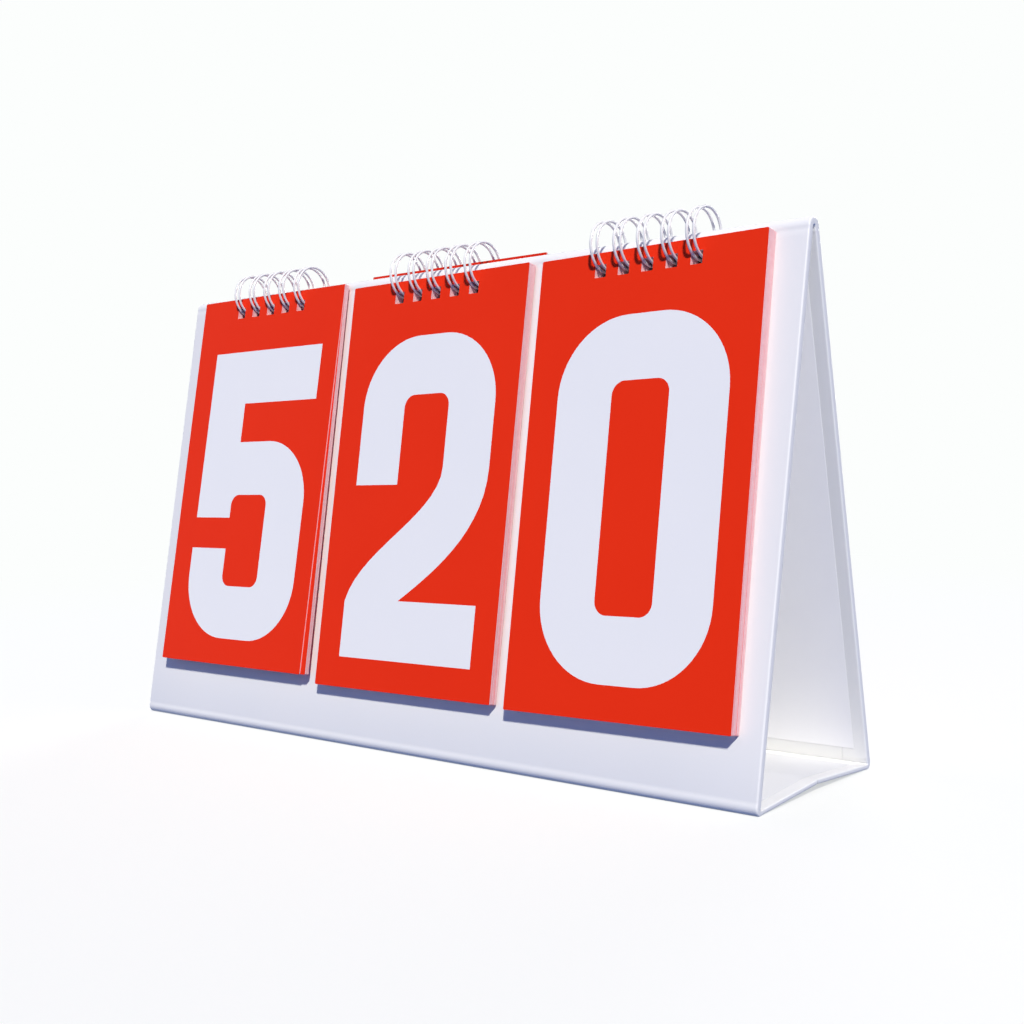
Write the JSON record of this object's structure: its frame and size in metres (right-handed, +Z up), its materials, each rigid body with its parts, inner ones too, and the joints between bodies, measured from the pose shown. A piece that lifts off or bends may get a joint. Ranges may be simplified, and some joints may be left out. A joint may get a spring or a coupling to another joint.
{
  "type": "flip scoreboard",
  "caption": "Folding A-frame tabletop scoreboard with three pads of red numeral cards that flip over on white twin-loop wires.",
  "frame": {"origin": "bottom centre of the opened stand, on the surface that it stands on, half way along the board and half way between its two feet", "axes": "+X along the board to the viewer's right, -Y towards the viewer of the shown numerals, +Z up"},
  "size_m": [0.406, 0.1028, 0.2516],
  "materials": {
    "cover": "satin white vinyl-coated covering",
    "board": "raw greyboard",
    "liner": "matt white lining paper",
    "card": "printed red card, slight sheen, pale edges",
    "wire": "white nylon-coated steel wire"
  },
  "bodies": {
    "front_panel": {"front_panel_core": "board", "front_panel_cover": "cover", "front_panel_liner": "liner", "ridge_spine": "cover", "front_foot_fold": "cover", "left_wire": "wire", "middle_wire": "wire", "right_wire": "wire"},
    "rear_panel": {"rear_panel_core": "board", "rear_panel_cover": "cover", "rear_panel_liner": "liner", "rear_foot_fold": "cover"},
    "base_front": {"base_front_core": "board", "base_front_cover": "cover", "base_front_liner": "liner", "base_crease": "cover"},
    "base_rear": {"base_rear_core": "board", "base_rear_cover": "cover", "base_rear_liner": "liner"},
    "left_card_9": {"left_card_9": "card"},
    "left_card_8": {"left_card_8": "card"},
    "left_card_7": {"left_card_7": "card"},
    "left_card_6": {"left_card_6": "card"},
    "left_card_5": {"left_card_5": "card"},
    "left_card_0": {"left_card_0": "card"},
    "left_card_1": {"left_card_1": "card"},
    "left_card_2": {"left_card_2": "card"},
    "left_card_3": {"left_card_3": "card"},
    "left_card_4": {"left_card_4": "card"},
    "middle_card_9": {"middle_card_9": "card"},
    "middle_card_8": {"middle_card_8": "card"},
    "middle_card_7": {"middle_card_7": "card"},
    "middle_card_6": {"middle_card_6": "card"},
    "middle_card_5": {"middle_card_5": "card"},
    "middle_card_4": {"middle_card_4": "card"},
    "middle_card_3": {"middle_card_3": "card"},
    "middle_card_2": {"middle_card_2": "card"},
    "middle_card_0": {"middle_card_0": "card"},
    "middle_card_1": {"middle_card_1": "card"},
    "right_card_9": {"right_card_9": "card"},
    "right_card_8": {"right_card_8": "card"},
    "right_card_7": {"right_card_7": "card"},
    "right_card_6": {"right_card_6": "card"},
    "right_card_5": {"right_card_5": "card"},
    "right_card_4": {"right_card_4": "card"},
    "right_card_3": {"right_card_3": "card"},
    "right_card_2": {"right_card_2": "card"},
    "right_card_1": {"right_card_1": "card"},
    "right_card_0": {"right_card_0": "card"}
  },
  "joints": [
    {"name": "ridge_fold", "type": "hinge", "parent": "front_panel", "child": "rear_panel", "pos_m": [0, 0, 0.2357], "axis": [-1, 0, 0], "range_deg": [0, 20.68]},
    {"name": "base_front_fold", "type": "hinge", "parent": "front_panel", "child": "base_front", "pos_m": [0, -0.0474, 0.00325], "axis": [1, 0, 0], "range_deg": [0, 74.18]},
    {"name": "base_rear_fold", "type": "hinge", "parent": "rear_panel", "child": "base_rear", "pos_m": [0, 0.0474, 0.00325], "axis": [-1, 0, 0], "range_deg": [0, 74.18], "deforming": ["base_crease"]},
    {"name": "left_card_9_flip", "type": "hinge", "parent": "front_panel", "child": "left_card_9", "pos_m": [-0.12805, -0.00203, 0.2397], "axis": [-1, 0, 0], "range_deg": [0, 180]},
    {"name": "left_card_8_flip", "type": "hinge", "parent": "left_card_9", "child": "left_card_8", "pos_m": [-0.12805, -0.00203, 0.2397], "axis": [-1, 0, 0], "range_deg": [0, 180]},
    {"name": "left_card_7_flip", "type": "hinge", "parent": "left_card_8", "child": "left_card_7", "pos_m": [-0.12805, -0.00203, 0.2397], "axis": [-1, 0, 0], "range_deg": [0, 180]},
    {"name": "left_card_6_flip", "type": "hinge", "parent": "left_card_7", "child": "left_card_6", "pos_m": [-0.12805, -0.00203, 0.2397], "axis": [-1, 0, 0], "range_deg": [0, 180]},
    {"name": "left_card_5_flip", "type": "hinge", "parent": "left_card_6", "child": "left_card_5", "pos_m": [-0.12805, -0.00203, 0.2397], "axis": [-1, 0, 0], "range_deg": [0, 180]},
    {"name": "left_card_0_flip", "type": "hinge", "parent": "rear_panel", "child": "left_card_0", "pos_m": [-0.12805, -0.00203, 0.2397], "axis": [-1, 0, 0], "range_deg": [-180, 0]},
    {"name": "left_card_1_flip", "type": "hinge", "parent": "left_card_0", "child": "left_card_1", "pos_m": [-0.12805, -0.00203, 0.2397], "axis": [-1, 0, 0], "range_deg": [-180, 0]},
    {"name": "left_card_2_flip", "type": "hinge", "parent": "left_card_1", "child": "left_card_2", "pos_m": [-0.12805, -0.00203, 0.2397], "axis": [-1, 0, 0], "range_deg": [-180, 0]},
    {"name": "left_card_3_flip", "type": "hinge", "parent": "left_card_2", "child": "left_card_3", "pos_m": [-0.12805, -0.00203, 0.2397], "axis": [-1, 0, 0], "range_deg": [-180, 0]},
    {"name": "left_card_4_flip", "type": "hinge", "parent": "left_card_3", "child": "left_card_4", "pos_m": [-0.12805, -0.00203, 0.2397], "axis": [-1, 0, 0], "range_deg": [-180, 0]},
    {"name": "middle_card_9_flip", "type": "hinge", "parent": "front_panel", "child": "middle_card_9", "pos_m": [0, -0.00435, 0.2383], "axis": [-1, 0, 0], "range_deg": [0, 180]},
    {"name": "middle_card_8_flip", "type": "hinge", "parent": "middle_card_9", "child": "middle_card_8", "pos_m": [0, -0.00435, 0.2383], "axis": [-1, 0, 0], "range_deg": [0, 180]},
    {"name": "middle_card_7_flip", "type": "hinge", "parent": "middle_card_8", "child": "middle_card_7", "pos_m": [0, -0.00435, 0.2383], "axis": [-1, 0, 0], "range_deg": [0, 180]},
    {"name": "middle_card_6_flip", "type": "hinge", "parent": "middle_card_7", "child": "middle_card_6", "pos_m": [0, -0.00435, 0.2383], "axis": [-1, 0, 0], "range_deg": [0, 180]},
    {"name": "middle_card_5_flip", "type": "hinge", "parent": "middle_card_6", "child": "middle_card_5", "pos_m": [0, -0.00435, 0.2383], "axis": [-1, 0, 0], "range_deg": [0, 180]},
    {"name": "middle_card_4_flip", "type": "hinge", "parent": "middle_card_5", "child": "middle_card_4", "pos_m": [0, -0.00435, 0.2383], "axis": [-1, 0, 0], "range_deg": [0, 180]},
    {"name": "middle_card_3_flip", "type": "hinge", "parent": "middle_card_4", "child": "middle_card_3", "pos_m": [0, -0.00435, 0.2383], "axis": [-1, 0, 0], "range_deg": [0, 180]},
    {"name": "middle_card_2_flip", "type": "hinge", "parent": "middle_card_3", "child": "middle_card_2", "pos_m": [0, -0.00435, 0.2383], "axis": [-1, 0, 0], "range_deg": [0, 180]},
    {"name": "middle_card_0_flip", "type": "hinge", "parent": "rear_panel", "child": "middle_card_0", "pos_m": [0, -0.00435, 0.2383], "axis": [-1, 0, 0], "range_deg": [-180, 0]},
    {"name": "middle_card_1_flip", "type": "hinge", "parent": "middle_card_0", "child": "middle_card_1", "pos_m": [0, -0.00435, 0.2383], "axis": [-1, 0, 0], "range_deg": [-180, 0]},
    {"name": "right_card_9_flip", "type": "hinge", "parent": "front_panel", "child": "right_card_9", "pos_m": [0.12805, -0.00535, 0.2384], "axis": [-1, 0, 0], "range_deg": [0, 180]},
    {"name": "right_card_8_flip", "type": "hinge", "parent": "right_card_9", "child": "right_card_8", "pos_m": [0.12805, -0.00535, 0.2384], "axis": [-1, 0, 0], "range_deg": [0, 180]},
    {"name": "right_card_7_flip", "type": "hinge", "parent": "right_card_8", "child": "right_card_7", "pos_m": [0.12805, -0.00535, 0.2384], "axis": [-1, 0, 0], "range_deg": [0, 180]},
    {"name": "right_card_6_flip", "type": "hinge", "parent": "right_card_7", "child": "right_card_6", "pos_m": [0.12805, -0.00535, 0.2384], "axis": [-1, 0, 0], "range_deg": [0, 180]},
    {"name": "right_card_5_flip", "type": "hinge", "parent": "right_card_6", "child": "right_card_5", "pos_m": [0.12805, -0.00535, 0.2384], "axis": [-1, 0, 0], "range_deg": [0, 180]},
    {"name": "right_card_4_flip", "type": "hinge", "parent": "right_card_5", "child": "right_card_4", "pos_m": [0.12805, -0.00535, 0.2384], "axis": [-1, 0, 0], "range_deg": [0, 180]},
    {"name": "right_card_3_flip", "type": "hinge", "parent": "right_card_4", "child": "right_card_3", "pos_m": [0.12805, -0.00535, 0.2384], "axis": [-1, 0, 0], "range_deg": [0, 180]},
    {"name": "right_card_2_flip", "type": "hinge", "parent": "right_card_3", "child": "right_card_2", "pos_m": [0.12805, -0.00535, 0.2384], "axis": [-1, 0, 0], "range_deg": [0, 180]},
    {"name": "right_card_1_flip", "type": "hinge", "parent": "right_card_2", "child": "right_card_1", "pos_m": [0.12805, -0.00535, 0.2384], "axis": [-1, 0, 0], "range_deg": [0, 180]},
    {"name": "right_card_0_flip", "type": "hinge", "parent": "right_card_1", "child": "right_card_0", "pos_m": [0.12805, -0.00535, 0.2384], "axis": [-1, 0, 0], "range_deg": [0, 180]}
  ],
  "couplings": [
    {"joint": "base_front_fold", "follows": "ridge_fold", "ratio": 3.5864},
    {"joint": "base_rear_fold", "follows": "ridge_fold", "ratio": 3.5864}
  ]
}
